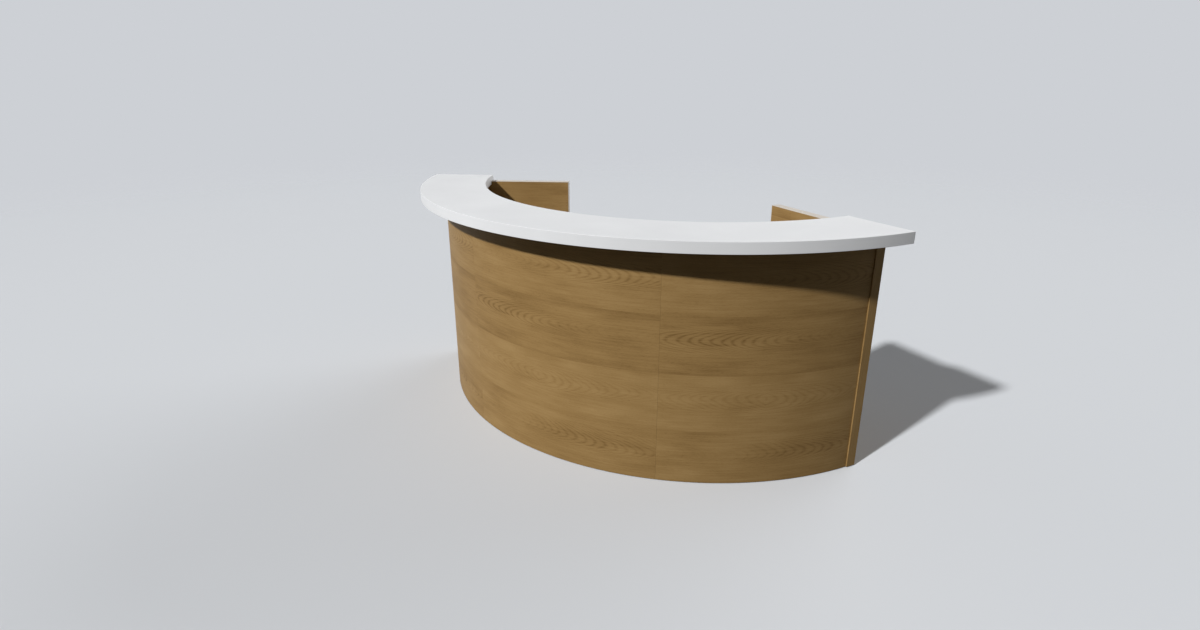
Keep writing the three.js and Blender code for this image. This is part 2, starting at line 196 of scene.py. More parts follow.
# Grain: where the print starts on the flat boards and on their narrow taped ends
GRAIN_MAP = "grain"
END_PRINT = 0.31
SUPPORT_PRINT = 1.60
TAPE_PRINT = 0.50
# A face of a flat board belongs to a narrow end where this share of its normal points along the board
END_FACING = 0.7
# Each leaf of the oak print: where its arches lie along it, how far they reach, how strong they are,
# its tone, and the place along it that its arches point away from
LEAVES = {
    -1: (0.80, 0.30, 0.75, 0.00, -0.10),
    0: (0.50, 0.60, 0.50, -0.06, 0.47),
    1: (0.22, 0.33, 1.00, 0.06, 1.20),
    2: (0.85, 0.36, 0.85, 0.00, -0.10),
    3: (0.30, 0.40, 0.80, 0.02, 1.20),
}
FIGURE_WIDTH = 0.055
ARCH_ROUNDNESS = 0.06
HEART_RISE = 0.022
HEART_WANDER = 0.06
DARK_EDGE = 0.03
# How far the arches' spacing strays, in rings, and how thin their dark lines are
RING_STRAY = 1.6
LINE_THINNESS = 2.5
# Where the arches have faded, in reaches from their middle, and what is left of them there
FADE_END = 1.9
FADE_REST = 0.15
# Marks in the print: length and width in millimetres, and how finely they break up
GRAIN_MARKS = {
    "blotch": (240, 75, 2),
    "streak": (170, 7, 3),
    "pore": (16, 1.3, 1),
    "wander": (420, 100, 1),
}
# Keeps the marks of one leaf apart from those of the next
LEAF_STRIDE = 7.3
# Noise that a pore starts from, and that makes it full
PORE_START = 0.56
PORE_FULL = 0.72
# How dark the print is without its marks, and how much each mark darkens it
BARE_TONE = 0.19
MARK_TONES = {"blotch": 0.41, "streak": 0.29, "leaf": 1.0, "arch": 0.42, "edge": 0.05, "pore": 0.14}
# How dark the print is where each of its darker colours starts, and where it is full
TINT_RANGES = {"oak": (0.25, 0.58), "oak_dark": (0.58, 0.95)}

# Stage: how wide each lamp looks from the desk in degrees, and which way its light goes
LAMPS = {
    "key": (3, (0.29, 1.09, -0.88)),
    "side": (50, (1.0, 0.3, -0.3)),
    "back": (60, (-0.25, -1.0, -0.15)),
}
SENSOR_WIDTH = 36
FLOOR_RADIUS = 16.0
FLOOR_FADE_START = 3.5
FLOOR_FADE_END = 13.0


def linear(code):
    """Turns an sRGB hex colour into the linear values that shaders take."""
    shares = [int(code[i : i + 2], 16) / 255 for i in (0, 2, 4)]
    return tuple(c / 12.92 if c <= 0.04045 else ((c + 0.055) / 1.055) ** 2.4 for c in shares)


def length_setting(name, description, default):
    """A setting that holds a length."""
    return FloatProperty(name=name, description=description, default=default, unit="LENGTH")


def colour_setting(name, description, code):
    """A setting that holds a colour."""
    return FloatVectorProperty(name=name, description=description, default=linear(code), subtype="COLOR")


class DeskSizes(bpy.types.PropertyGroup):
    """Sizes of the visible details."""

    edge_radius: length_setting("Board edge", "Rounding of the boards' edges", 0.0015)
    seam_radius: length_setting("Seam edge", "Rounding where the front's sections butt", 0.00025)
    tape_radius: length_setting("Tape edge", "Rounding of the thin edging tape", 0.0006)
    arc_step: FloatProperty(
        name="Arc step",
        description="Turn of one step along the big arcs",
        default=math.radians(0.75),
        subtype="ANGLE",
    )
    bend_radius: length_setting("Bend radius", "Inner radius of the folds in the steel", 0.003)
    plate_corner: length_setting("Plate corner", "Rounding of the steel's free corners", 0.006)
    plate_edge: length_setting("Plate edge", "Rounding of the steel's cut edges", 0.0005)
    screw_radius: length_setting("Screw head", "Radius of the pan-head screws", 0.004)
    moulded_edge: length_setting("Moulded edge", "Rounding of the plastic pieces' edges", 0.0005)
    leaf_height: length_setting("Leaf height", "Height of one leaf in the oak print", 0.2695)
    first_joint: length_setting("First leaf joint", "Height of the lowest joint of leaves", 0.262)
    arch_spacing: length_setting("Arch spacing", "Distance between arches along the grain", 0.047)
    ring_spacing: length_setting("Ring spacing", "Width of one growth ring", 0.0057)


class DeskColours(bpy.types.PropertyGroup):
    """Colours of the finishes."""

    oak_light: colour_setting("Oak, light", "Pale wood between the marks", "ab8d5e")
    oak: colour_setting("Oak", "Usual colour of the oak print", "95774a")
    oak_dark: colour_setting("Oak, dark", "Dark marks in the oak print", "6f532d")
    white: colour_setting("White", "Counter and work surface", "e9eaeb")
    white_shade: colour_setting("White, shade", "Faint clouds in the white", "e3e4e5")
    edging: colour_setting("Edging", "Pale tape on the end panels", "d2c9bd")
    edging_shade: colour_setting("Edging, shade", "Faint clouds in the tape", "cbc2b7")
    birch: colour_setting("Birch", "Light plies of the plywood", "cfb283")
    birch_dark: colour_setting("Birch, dark", "Plies seen end on", "a5824f")
    zinc: colour_setting("Zinc", "Plated steel", "b9bdc1")
    zinc_dull: colour_setting("Zinc, dull", "Duller patches of the plating", "9a9fa5")
    grey: colour_setting("Grey", "Cable grommets", "4a4d50")
    grey_shade: colour_setting("Grey, shade", "Faint clouds in the grey", "45484a")
    black: colour_setting("Black", "Foot pads", "1f2021")
    black_shade: colour_setting("Black, shade", "Faint clouds in the black", "1c1d1e")
    floor: colour_setting("Floor", "Floor under the desk", "d6d9dd")
    floor_return: colour_setting("Floor, return", "Light that the floor throws back", "2c2d2f")
    backdrop: colour_setting("Backdrop", "What the floor fades into", "cdd0d5")


class DeskStage(bpy.types.PropertyGroup):
    """Camera and light."""

    camera_place: FloatVectorProperty(
        name="Camera",
        description="Place of the camera",
        default=(1.8752, -2.7226, 1.7705),
        subtype="TRANSLATION",
    )
    camera_yaw: FloatProperty(
        name="Yaw", description="Turn of the camera from +Y to +X", default=-0.6056, subtype="ANGLE"
    )
    camera_pitch: FloatProperty(
        name="Pitch", description="Tilt of the camera above the level", default=-0.3471, subtype="ANGLE"
    )
    camera_lens: FloatProperty(
        name="Lens",
        description="Focal length on a 36 mm wide sensor",
        default=20.583,
        subtype="DISTANCE_CAMERA",
    )
    key_light: FloatProperty(
        name="Key light", description="Strength of the key light from the front", default=3.52
    )
    side_light: FloatProperty(
        name="Side light", description="Strength of the broad light from the left", default=0.22
    )
    back_light: FloatProperty(
        name="Back light", description="Strength of the broad light behind", default=2.2
    )
    fill_light: FloatProperty(
        name="Fill light", description="Strength of the even light all round", default=0.1
    )


def on_arc(radius, angle, height=0.0):
    """The point at a radius and angle about the axis of the arcs."""
    turn = math.radians(angle)
    return ARC_CENTRE + Vector((radius * math.sin(turn), -radius * math.cos(turn), height))


def arc_of(point):
    """The radius and angle of a point about the axis of the arcs."""
    x, y = point.x - ARC_CENTRE.x, ARC_CENTRE.y - point.y
    return math.hypot(x, y), math.degrees(math.atan2(x, y))


def angle_of(width, radius):
    """The angle that a width takes up at a radius."""
    return math.degrees(width / radius)


def heights(node):
    """The lowest and highest point of a solid."""
    low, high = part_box(node)
    return low.z, high.z


def at_height(height):
    """A place straight above the origin."""
    return Matrix.Translation((0, 0, height))


def flat_seat(far_edge):
    """How far out a flat back of that half width lies against the front's inner face."""
    return math.sqrt(FRONT_REACH**2 - far_edge**2)


def stand(radius, angle, turn, inset=0.0):
    """A frame on the floor whose +Y points away from the panel that a piece is fixed to."""
    place = Matrix.Translation(on_arc(radius, angle))
    return place @ Matrix.Rotation(math.radians(turn), 4, "Z") @ Matrix.Translation((0, inset, 0))


def front_stand(angle, width):
    """A frame on the front's inner face, for a flat back of that width."""
    return stand(flat_seat(width / 2), angle, angle)


def end_stand(side, radius, inset=JOINT_GAP):
    """A frame on an end panel's inner face."""
    return stand(radius, side * FRONT_HALF_ANGLE, side * (90 + FRONT_HALF_ANGLE), inset)


def support_stand(radius):
    """A frame on the right face of the centre support."""
    return stand(radius, 0, -90, SUPPORT_THICKNESS / 2 + JOINT_GAP)


def of_kind(geom, kind):
    """The elements of one kind in what an operator gives back."""
    return [g for g in geom if isinstance(g, kind)]


def added(elements, before):
    """The elements that were not there before, in their order."""
    return [e for e in elements if e not in before]


def region(faces):
    """Faces with their edges and corners, as the extruding operators take them."""
    edges = dict.fromkeys(e for f in faces for e in f.edges)
    verts = dict.fromkeys(v for f in faces for v in f.verts)
    return [*faces, *edges, *verts]


def draw_out(bm, faces, way):
    """Extrudes faces along a vector."""
    geom = bmesh.ops.extrude_face_region(bm, geom=region(faces))["geom"]
    bmesh.ops.translate(bm, vec=way, verts=of_kind(geom, bmesh.types.BMVert))


def draw_out_loop(bm, edges, way, widening=1.0):
    """Extrudes a loop of edges along a vector, wider about the upright axis, and returns the moved loop."""
    geom = bmesh.ops.extrude_edge_only(bm, edges=edges)["geom"]
    verts = of_kind(geom, bmesh.types.BMVert)
    bmesh.ops.translate(bm, vec=way, verts=verts)
    bmesh.ops.scale(bm, vec=(widening, widening, 1), verts=verts)
    return [e for e in of_kind(geom, bmesh.types.BMEdge) if all(v in verts for v in e.verts)]


def loop_of(bm, points):
    """Edges round a closed run of points."""
    verts = [bm.verts.new(p) for p in points]
    return [bm.edges.new(pair) for pair in zip(verts, verts[1:] + verts[:1])]


def ring_of(bm, radius, steps, place):
    """Edges round a circle."""
    ring = bmesh.ops.create_circle(bm, cap_ends=False, radius=radius, segments=steps, matrix=place)
    return list(dict.fromkeys(e for v in ring["verts"] for e in v.link_edges))


def fill_and_thicken(bm, edges, way):
    """Fills the plane between outline and holes, and gives it a thickness."""
    filled = bmesh.ops.triangle_fill(bm, use_beauty=True, edges=edges)["geom"]
    draw_out(bm, of_kind(filled, bmesh.types.BMFace), way)
    bmesh.ops.recalc_face_normals(bm, faces=bm.faces)


def spin_on_arc(bm, geom, start, stop):
    """Turns geometry about the axis of the arcs in small steps, and returns its last copy."""
    turn = math.radians(stop - start)
    steps = math.ceil(turn / bpy.context.scene.desk_sizes.arc_step)
    spun = bmesh.ops.spin(bm, geom=geom, cent=ARC_CENTRE, axis=(0, 0, 1), angle=turn, steps=steps)
    return spun["geom_last"]


def sweep(bm, profile, stops):
    """Sweeps a closed profile of (radius, height) about the axis of the arcs, from stop to stop."""
    verts = [bm.verts.new(on_arc(radius, stops[0], height)) for radius, height in profile]
    geom = region([bm.faces.new(verts)])
    for start, stop in zip(stops, stops[1:]):
        geom = spin_on_arc(bm, geom, start, stop)
    bmesh.ops.recalc_face_normals(bm, faces=bm.faces)


def curved_board(bm, node, inner, outer, start, stop):
    """A board between two radii and two angles, as high as its solid."""
    low, high = heights(node)
    sweep(bm, ((inner, low), (outer, low), (outer, high), (inner, high)), (start, stop))


def turn_profile(bm, profile, steps):
    """Turns a profile of (radius, height) all the way round, closed on the axis or else on itself."""
    verts = [bm.verts.new((radius, 0, height)) for radius, height in profile]
    pairs = list(zip(verts, verts[1:]))
    if profile[0][0] > 0:
        pairs.append((verts[-1], verts[0]))
    geom = verts + [bm.edges.new(pair) for pair in pairs]
    bmesh.ops.spin(
        bm, geom=geom, cent=(0, 0, 0), axis=(0, 0, 1), angle=math.tau, steps=steps, use_merge=True
    )
    bmesh.ops.remove_doubles(bm, verts=bm.verts, dist=NEAR)
    bmesh.ops.recalc_face_normals(bm, faces=bm.faces)


def round_edges(bm, radius, segments=3, over=40.0, among=None):
    """Rounds the edges, or those among some of them, whose faces turn by more than an angle."""
    edges = bm.edges if among is None else among
    bmesh.ops.bevel(
        bm,
        geom=[e for e in edges if e.calc_face_angle(0) > math.radians(over)],
        offset=radius,
        offset_type="OFFSET",
        affect="EDGES",
        segments=segments,
        profile=0.5,
        material=-1,
        clamp_overlap=True,
    )


def board(bm, low, high):
    """A flat board between two corners."""
    low, high = Vector(low), Vector(high)
    size = Matrix.Diagonal((*(high - low), 1))
    bmesh.ops.create_cube(bm, size=1, matrix=Matrix.Translation((low + high) / 2) @ size)


def lay_grain_on_arc(bm, radius, start):
    """Lays the grain level round an arc, measured from an angle on its outer face."""
    layer = bm.loops.layers.uv.new(GRAIN_MAP)
    for face in bm.faces:
        for loop in face.loops:
            near, angle = arc_of(loop.vert.co)
            along = radius * math.radians(angle - start)
            loop[layer].uv = (along, loop.vert.co.z + radius - near)


def lay_grain_on_board(bm, along):
    """Lays the grain level on a flat board in its own frame, and upright on its narrow ends."""
    layer = bm.loops.layers.uv.new(GRAIN_MAP)
    for face in bm.faces:
        on_end = abs(face.normal.x) > END_FACING
        for loop in face.loops:
            x, y, z = loop.vert.co
            loop[layer].uv = (z, TAPE_PRINT + y) if on_end else (along + x, z + y)


def mesh_of(bm, name):
    """Makes a mesh of what has been modelled."""
    mesh = bpy.data.meshes.new(name)
    bm.to_mesh(mesh)
    bm.free()
    return mesh


@functools.cache
def screw_head():
    """A pan head with a cross recess, seated on z = 0, to be copied into the pieces that it holds."""
    radius = bpy.context.scene.desk_sizes.screw_radius
    top, arm, slot = HEAD_HEIGHT * radius, RECESS_ARM * radius, RECESS_SLOT * radius
    bm = bmesh.new()
    corners = [(arm, -slot, top), (arm, slot, top), (slot, slot, top)]
    turns = [Matrix.Rotation(quarter * math.pi / 2, 3, "Z") for quarter in range(4)]
    cross = loop_of(bm, [turn @ Vector(corner) for turn in turns for corner in corners])
    rim = ring_of(bm, HEAD_SHOULDERS[0][0] * radius, len(cross), at_height(top))
    bmesh.ops.bridge_loops(bm, edges=cross + rim)
    recess = draw_out_loop(bm, cross, (0, 0, -RECESS_DEPTH * radius))
    bmesh.ops.edgeloop_fill(bm, edges=recess)
    for (inner, above), (outer, below) in zip(HEAD_SHOULDERS, HEAD_SHOULDERS[1:]):
        rim = draw_out_loop(bm, rim, (0, 0, (below - above) * top), outer / inner)
    bmesh.ops.edgeloop_fill(bm, edges=rim)
    bmesh.ops.recalc_face_normals(bm, faces=bm.faces)
    return mesh_of(bm, "screw_head")


def drive_screws(bm, places):
    """Copies the screw head to each place."""
    for place in places:
        before = set(bm.verts)
        bm.from_mesh(screw_head())
        bmesh.ops.transform(bm, matrix=place, verts=added(bm.verts, before))


def screw_angle(bm, kind):
    """Drives the screws of an angle of that kind through both of its legs."""
    columns, outs, ups = SCREWS[kind]
    lying = [Matrix.Translation((x, y, STEEL)) for x in columns for y in outs]
    standing = [Matrix.Translation((x, STEEL, z)) @ FACE_OUT for x in columns for z in ups]
    drive_screws(bm, lying + standing)


def folded_angle(bm, width, reach, rise, hole=None):
    """A folded steel angle along X: its level leg lies on z = 0 towards +Y, the other rises at y = 0."""
    sizes = bpy.context.scene.desk_sizes
    bend = STEEL + sizes.bend_radius
    half = width / 2
    outline = loop_of(bm, [(-half, bend, 0), (half, bend, 0), (half, reach, 0), (-half, reach, 0)])
    if hole:
        outline += ring_of(bm, hole[1], BORE_STEPS, Matrix.Translation((0, hole[0], 0)))
    fill_and_thicken(bm, outline, (0, 0, STEEL))
    end = min(bm.faces, key=lambda f: f.calc_center_median().y)
    folded = bmesh.ops.spin(
        bm, geom=region([end]), cent=(0, bend, bend), axis=(-1, 0, 0), angle=math.pi / 2, steps=BEND_STEPS
    )["geom_last"]
    draw_out(bm, of_kind(folded, bmesh.types.BMFace), (0, 0, rise - bend))
    bmesh.ops.recalc_face_normals(bm, faces=bm.faces)

    def is_free(vert):
        """Whether a corner is at the free end of a leg."""
        x, y, z = vert.co
        return abs(abs(x) - half) < NEAR and (y > reach - NEAR or z > rise - NEAR)

    corners = [e for e in bm.edges if e.calc_length() < STEEL + NEAR and all(is_free(v) for v in e.verts)]
    round_edges(bm, sizes.plate_corner, segments=5, among=corners)
    round_edges(bm, sizes.plate_edge, segments=2)
    bmesh.ops.dissolve_degenerate(bm, dist=NEAR, edges=bm.edges)


def hung(node):
    """Turns an angle over, so that its level leg is at the top of its solid."""
    return at_height(heights(node)[1]) @ Matrix.Rotation(math.pi, 4, "Y")


def make_piece(bm, name, finish, place=AS_MODELLED, body="root"):
    """Makes an object of a mesh in its place, which rides on a body and takes its finish."""
    mesh = mesh_of(bm, name)
    mesh.transform(place)
    mesh.shade_smooth()
    mesh.set_sharp_from_angle(angle=math.radians(SHARP_TURN))
    mesh.materials.append(finish())
    piece = bpy.data.objects.new(name, mesh)
    bpy.context.scene.collection.objects.link(piece)
    piece.modifiers.new("Even shading", "WEIGHTED_NORMAL").keep_sharp = True
    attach(piece, body)
    return piece


def dress(bm, node, finish, place=AS_MODELLED, body="root", also=()):
    """Makes the piece that stands for a solid, and for others that are faced with it."""
    piece = make_piece(bm, node + "_piece", finish, place, body)
    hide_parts(node, *also)
    return piece


def add_node(tree, kind, inputs=(), **settings):
    """Adds a shader node with its settings, and sets or links its inputs.

    A node that is given as an input stands for its first output.
    """
    node = tree.nodes.new("ShaderNode" + kind)
    for setting, value in settings.items():
        setattr(node, setting, value)
    sockets = [s for s in node.inputs if s.enabled]
    named = {s.name: s for s in sockets}
    for key, value in dict(inputs).items():
        socket = named[key] if isinstance(key, str) else sockets[key]
        if isinstance(value, bpy.types.Node):
            value = next(s for s in value.outputs if s.enabled)
        if isinstance(value, bpy.types.NodeSocket):
            tree.links.new(value, socket)
        elif socket.type == "RGBA":
            socket.default_value = (*value, 1)
        else:
            socket.default_value = value
    return node


def emptied(owner):
    """Clears the nodes of a material or world, and returns the function that adds new ones."""
    owner.use_nodes = True
    owner.node_tree.nodes.clear()
    return functools.partial(add_node, owner.node_tree)


def new_finish(name):
    """A new material without nodes, and the function that adds them."""
    material = bpy.data.materials.new(name)
    return material, emptied(material)


def pattern_scale(size):
    """The scale that gives a pattern's marks a size in millimetres."""
    return 1000 / size


def clouded(add, place, tints, size, detail, span):
    """Soft clouds of a size in millimetres, and the colour that they give between two tints."""
    cloud = add("TexNoise", {"Vector": place, "Scale": pattern_scale(size), "Detail": detail})
    share = add("MapRange", {"Value": cloud, "From Min": span[0], "From Max": span[1]})
    mix = {"Factor": share, "A": tints[0], "B": tints[1]}
    return cloud, add("Mix", mix, data_type="RGBA")


# Oak-print laminate, pressed satin: the print gives broad level leaves with arches,
# and the pressed face gives a soft sheen
@functools.cache
def oak_laminate():
    sizes, colours = bpy.context.scene.desk_sizes, bpy.context.scene.desk_colours
    material, add = new_finish("Oak-print laminate, satin")
    grain = add("UVMap", uv_map=GRAIN_MAP)
    place = add("SeparateXYZ", {0: grain})
    along = place.outputs["X"]

    # Leaves: the number of each, and the distance from its middle
    above = add("Math", {0: place.outputs["Y"], 1: sizes.first_joint}, operation="SUBTRACT")
    leaf = add("Math", {0: above, 1: sizes.leaf_height}, operation="DIVIDE")
    number = add("Math", {0: leaf}, operation="FLOOR")
    share = add("Math", {0: leaf}, operation="FRACT")
    middle = add("Math", {0: share, 1: 0.5}, operation="SUBTRACT")
    across = add("Math", {0: middle, 1: sizes.leaf_height}, operation="MULTIPLY")
    spot = add("CombineXYZ", {"X": along, "Y": across, "Z": number})
    marks = {}
    for name, (length, width, detail) in GRAIN_MARKS.items():
        stretch = {0: spot, 1: (pattern_scale(length), pattern_scale(width), LEAF_STRIDE)}
        stretched = add("VectorMath", stretch, operation="MULTIPLY")
        marks[name] = add("TexNoise", {"Vector": stretched, "Scale": 1.0, "Detail": detail})
    figure = leaf_print = (0, 0, 0)
    for leaf_number, (centre, reach, strength, tone, turn) in LEAVES.items():
        here = add("Math", {0: number, 1: leaf_number, 2: 0.5}, operation="COMPARE")
        figure = {0: here, 1: (centre, 1 / reach, strength), 2: figure}
        figure = add("VectorMath", figure, operation="MULTIPLY_ADD")
        leaf_print = {0: here, 1: (tone, turn, 0), 2: leaf_print}
        leaf_print = add("VectorMath", leaf_print, operation="MULTIPLY_ADD")
    figure = add("SeparateXYZ", {0: figure})
    leaf_print = add("SeparateXYZ", {0: leaf_print})
    marks["leaf"] = leaf_print.outputs["X"]

    # Arches: growth rings cut at a slant, bowed about the wandering heart of each leaf
    local = add("Math", {0: along, 1: SECTION_LENGTH, 2: 0.0}, operation="WRAP")
    wander = add("Math", {0: marks["wander"], 1: 0.5}, operation="SUBTRACT")
    heart = add("Math", {0: across, 1: HEART_RISE}, operation="SUBTRACT")
    heart = add("Math", {0: wander, 1: HEART_WANDER, 2: heart}, operation="MULTIPLY_ADD")
    bow = add("Math", {0: heart, 1: heart, 2: ARCH_ROUNDNESS**2}, operation="MULTIPLY_ADD")
    bow = add("Math", {0: bow}, operation="SQRT")
    bow = add("Math", {0: bow, 1: sizes.ring_spacing}, operation="DIVIDE")
    run = add("Math", {0: local, 1: leaf_print.outputs["Y"]}, operation="SUBTRACT")
    run = add("Math", {0: run}, operation="ABSOLUTE")
    run = add("Math", {0: run, 1: sizes.arch_spacing}, operation="DIVIDE")
    ring = add("Math", {0: run, 1: bow}, operation="ADD")
    ring = add("Math", {0: marks["blotch"], 1: RING_STRAY, 2: ring}, operation="MULTIPLY_ADD")
    ring = add("Math", {0: ring, 1: math.tau}, operation="MULTIPLY")
    wave = add("Math", {0: ring}, operation="SINE")
    line = add("MapRange", {"Value": wave, "From Min": -1, "From Max": 1})
    line = add("Math", {0: line, 1: LINE_THINNESS}, operation="POWER")

    # The arches fade away from the heart and from the middle of the leaf's figure
    off = add("Math", {0: local, 1: figure.outputs["X"]}, operation="SUBTRACT")
    off = add("Math", {0: off, 1: figure.outputs["Y"]}, operation="MULTIPLY")
    aside = add("Math", {0: heart, 1: FIGURE_WIDTH}, operation="DIVIDE")
    far = add("CombineXYZ", {"X": off, "Y": aside})
    far = add("VectorMath", {0: far}, operation="LENGTH")
    fade = {"Value": far, "From Max": FADE_END, "To Min": 1.0, "To Max": FADE_REST}
    fade = add("MapRange", fade, interpolation_type="SMOOTHSTEP")
    fade = add("Math", {0: fade, 1: figure.outputs["Z"]}, operation="MULTIPLY")
    broken = add("Math", {0: marks["streak"], 1: fade}, operation="MULTIPLY")
    marks["arch"] = add("Math", {0: line, 1: broken}, operation="MULTIPLY")

    # Edges of the leaves, a little darker, and pores as short dark dashes
    side = add("Math", {0: across}, operation="ABSOLUTE")
    half_leaf = sizes.leaf_height / 2
    edge = {"Value": side, "From Min": half_leaf - DARK_EDGE, "From Max": half_leaf}
    marks["edge"] = add("MapRange", edge, interpolation_type="SMOOTHSTEP")
    pores = {"Value": marks["pore"], "From Min": PORE_START, "From Max": PORE_FULL}
    pores = marks["pore"] = add("MapRange", pores)

    # All the marks together give how dark the print is, and that gives its colour and its sheen
    dark = BARE_TONE
    for name, tone in MARK_TONES.items():
        dark = add("Math", {0: marks[name], 1: tone, 2: dark}, operation="MULTIPLY_ADD")
    colour = colours.oak_light
    for tint, (start, full) in TINT_RANGES.items():
        share = add("MapRange", {"Value": dark, "From Min": start, "From Max": full})
        colour = add("Mix", {"Factor": share, "A": colour, "B": getattr(colours, tint)}, data_type="RGBA")
    sheen = add("MapRange", {"Value": dark, "To Min": 0.44, "To Max": 0.56})
    bump = add("Bump", {"Strength": 0.25, "Distance": 0.0001, "Height": pores}, invert=True)
    face = {"Base Color": colour, "Roughness": sheen, "Specular IOR Level": 0.12, "Normal": bump}
    add("OutputMaterial", {"Surface": add("BsdfPrincipled", face)})
    return material


# White laminate, pressed with a fine satin texture: a 1 mm pebble that only softens the reflections
@functools.cache
def white_laminate():
    colours = bpy.context.scene.desk_colours
    material, add = new_finish("White laminate, fine satin")
    place = add("TexCoord").outputs["Object"]
    tints = (colours.white_shade, colours.white)
    cloud, colour = clouded(add, place, tints, size=300, detail=3, span=(0.3, 0.7))
    sheen = add("MapRange", {"Value": cloud, "To Min": 0.46, "To Max": 0.54})
    pebble = add("TexNoise", {"Vector": place, "Scale": pattern_scale(1), "Detail": 1})
    bump = add("Bump", {"Strength": 0.12, "Distance": 0.00005, "Height": pebble})
    face = {"Base Color": colour, "Roughness": sheen, "Normal": bump}
    add("OutputMaterial", {"Surface": add("BsdfPrincipled", face)})
    return material


# ABS edging tape, drawn: cream and satin, with faint lines 2 mm apart along its length
@functools.cache
def pale_edging():
    colours = bpy.context.scene.desk_colours
    material, add = new_finish("ABS edging tape, cream")
    place = add("TexCoord").outputs["Object"]
    tints = (colours.edging_shade, colours.edging)
    colour = clouded(add, place, tints, size=60, detail=4, span=(0.25, 0.75))[1]
    along = add("UVMap", uv_map=GRAIN_MAP)
    drawn = {0: along, 1: (pattern_scale(300), pattern_scale(2), 1)}
    drawn = add("VectorMath", drawn, operation="MULTIPLY")
    lines = add("TexNoise", {"Vector": drawn, "Scale": 1.0, "Detail": 1})
    sheen = add("MapRange", {"Value": lines, "To Min": 0.36, "To Max": 0.48})
    bump = add("Bump", {"Strength": 0.1, "Distance": 0.00005, "Height": lines})
    face = {"Base Color": colour, "Roughness": sheen, "Normal": bump}
    add("OutputMaterial", {"Surface": add("BsdfPrincipled", face)})
    return material


# Birch plywood, sanded and bare: pale plies 1.4 mm thick, every second one seen end on and darker
@functools.cache
def plywood():
    colours = bpy.context.scene.desk_colours
    material, add = new_finish("Birch plywood, sanded")
    place = add("TexCoord").outputs["Object"]
    centred = add("Mapping", {"Vector": place, "Location": -ARC_CENTRE})
    level = add("VectorMath", {0: centred, 1: (1, 1, 0)}, operation="MULTIPLY")
    radius = add("VectorMath", {0: level}, operation="LENGTH")
    layers = add("Math", {0: radius, 1: math.pi * pattern_scale(1.4)}, operation="MULTIPLY")
    layers = add("Math", {0: layers}, operation="SINE")
    plies = add("MapRange", {"Value": layers, "From Min": -0.25, "From Max": 0.25})
    # Fibres 3 mm wide and some 110 mm long, upright
    stretch = {0: place, 1: (pattern_scale(3), pattern_scale(3), pattern_scale(110))}
    stretched = add("VectorMath", stretch, operation="MULTIPLY")
    fibre = add("TexNoise", {"Vector": stretched, "Scale": 1.0, "Detail": 3})
    dark = add("Math", {0: plies, 1: 0.45, 2: fibre}, operation="MULTIPLY_ADD")
    share = add("MapRange", {"Value": dark, "From Min": 0.3, "From Max": 1.0})
    colour = add("Mix", {"Factor": share, "A": colours.birch, "B": colours.birch_dark}, data_type="RGBA")
    bump = add("Bump", {"Strength": 0.2, "Distance": 0.0001, "Height": fibre})
    face = {"Base Color": colour, "Roughness": 0.62, "Normal": bump}
    add("OutputMaterial", {"Surface": add("BsdfPrincipled", face)})
    return material


# Steel with bright zinc plating: smooth, with dull clouds some 12 mm wide and fine rolling marks
@functools.cache
def zinc_steel():
    colours = bpy.context.scene.desk_colours
    material, add = new_finish("Steel, zinc plated")
    place = add("TexCoord").outputs["Object"]
    tints = (colours.zinc_dull, colours.zinc)
    cloud, colour = clouded(add, place, tints, size=12, detail=4, span=(0.3, 0.7))
    sheen = add("MapRange", {"Value": cloud, "To Min": 0.46, "To Max": 0.30})
    rolled = add("TexNoise", {"Vector": place, "Scale": pattern_scale(1.5), "Detail": 2})
    bump = add("Bump", {"Strength": 0.06, "Distance": 0.00005, "Height": rolled})
    face = {"Base Color": colour, "Metallic": 1.0, "Roughness": sheen, "Normal": bump}
    add("OutputMaterial", {"Surface": add("BsdfPrincipled", face)})
    return material


def moulded_plastic(name, tints, roughness):
    """Plastic from a spark-eroded mould: matt, with a grit of 0.6 mm and faint clouds in its colour."""
    material, add = new_finish(name)
    place = add("TexCoord").outputs["Object"]
    colour = clouded(add, place, tints, size=9, detail=3, span=(0.3, 0.7))[1]
    grit = add("TexNoise", {"Vector": place, "Scale": pattern_scale(0.6), "Detail": 1})
    bump = add("Bump", {"Strength": 0.2, "Distance": 0.00008, "Height": grit})
    face = {"Base Color": colour, "Roughness": roughness, "Normal": bump}
    add("OutputMaterial", {"Surface": add("BsdfPrincipled", face)})
    return material


# ABS, moulded grey: an even fine matt that hides scratches from the cables
@functools.cache
def grey_plastic():
    colours = bpy.context.scene.desk_colours
    return moulded_plastic("ABS, moulded grey", (colours.grey_shade, colours.grey), 0.5)


# Polypropylene, moulded black: a little rougher and waxy, as the soles of furniture are
@functools.cache
def black_plastic():
    colours = bpy.context.scene.desk_colours
    return moulded_plastic("Polypropylene, moulded black", (colours.black_shade, colours.black), 0.58)


